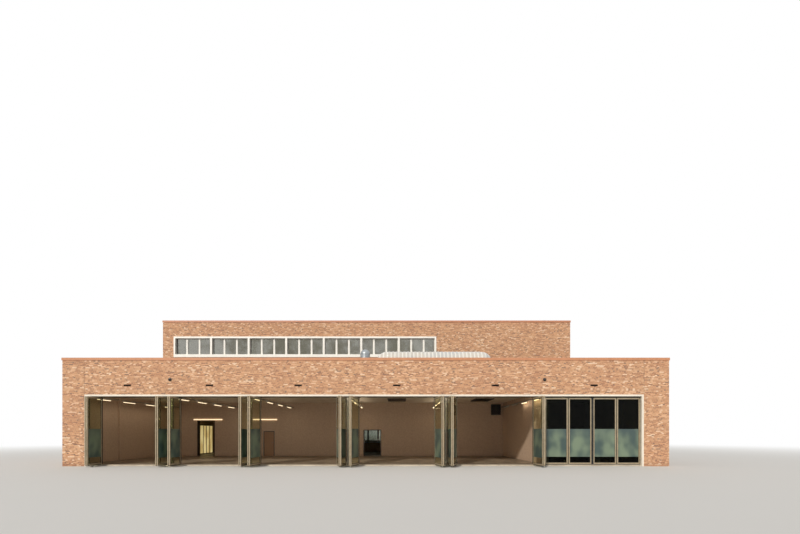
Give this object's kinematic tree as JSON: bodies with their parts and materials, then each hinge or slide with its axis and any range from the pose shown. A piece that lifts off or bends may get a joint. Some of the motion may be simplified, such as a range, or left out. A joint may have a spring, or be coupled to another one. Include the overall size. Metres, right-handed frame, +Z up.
{
  "type": "ambulance station",
  "caption": "Brick ambulance station: a flat-roofed vehicle hall with glazed folding doors in front of a taller wing with strip windows.",
  "frame": {"origin": "on the ground, in the middle of the vehicle hall's floor slab", "axes": "+X to the right along the front as seen from outside, +Y back into the building, +Z up"},
  "size_m": [34.16, 20.2463, 10.9],
  "materials": {
    "brick": "matt, variegated",
    "inner_plaster": "matt painted plaster",
    "concrete_floor": "smooth worn concrete",
    "roof_covering": "fine gravel",
    "coping_metal": "satin",
    "window_metal": "satin",
    "clear_glass": "clear",
    "frosted_glass": "etched",
    "trim_metal": "satin anodised",
    "leaf_metal": "satin anodised",
    "track_steel": "satin black",
    "hinge_steel": "brushed",
    "seal_rubber": "matt",
    "vent_metal": "matt",
    "lamp_housing": "matt",
    "curb_metal": "satin",
    "rooflight_plastic": "translucent",
    "cowl_metal": "weathered",
    "rail_metal": "satin",
    "lamp_cover": "glowing diffuser",
    "inner_frame_metal": "satin",
    "door_wood": "varnished",
    "display_case": "matt",
    "ceiling_board": "matt painted board",
    "lit_glass": "lit from behind"
  },
  "bodies": {
    "root": {"front_piers": "brick", "front_wall_over_doors": "brick", "hall_side_wall_left": "brick", "hall_side_wall_right": "brick", "wing_front_wall": "brick", "wing_side_wall_left": "brick", "wing_side_wall_right": "brick", "wing_rear_wall": "brick", "hall_back_wall": "inner_plaster", "hall_floor": "concrete_floor", "wing_ground_floor": "concrete_floor", "wing_upper_floors": "concrete_floor", "door_thresholds": "concrete_floor", "hall_roof": "roof_covering", "wing_roof": "roof_covering", "hall_coping": "coping_metal", "wing_coping": "coping_metal", "front_window_frame": "window_metal", "rear_window_frames": "window_metal", "front_window_glass": "clear_glass", "rear_window_glass": "clear_glass", "leaf_clear_glass": "clear_glass", "leaf_frosted_glass": "frosted_glass", "opening_trim": "trim_metal", "door_posts": "trim_metal", "bay_1_leaf_frames": "leaf_metal", "bay_2_leaf_frames": "leaf_metal", "bay_3_leaf_frames": "leaf_metal", "bay_4_leaf_frames": "leaf_metal", "bay_5_leaf_frames": "leaf_metal", "bay_6_leaf_frames": "leaf_metal", "head_track": "track_steel", "leaf_guide_arms": "track_steel", "leaf_hinges": "hinge_steel", "leaf_edge_seals": "seal_rubber", "leaf_bottom_brushes": "seal_rubber", "vent_louvres": "vent_metal", "front_lamps": "lamp_housing", "rooflight_curb": "curb_metal", "rooflight_vault": "rooflight_plastic", "roof_cowl": "cowl_metal", "light_rails": "rail_metal", "hall_lights": "lamp_cover", "doorway_lamps": "lamp_cover", "hall_ceiling": "ceiling_board", "corridor_glass": "lit_glass", "inner_door_frames": "inner_frame_metal", "inner_door": "door_wood", "wall_display": "display_case"}
  },
  "joints": []
}
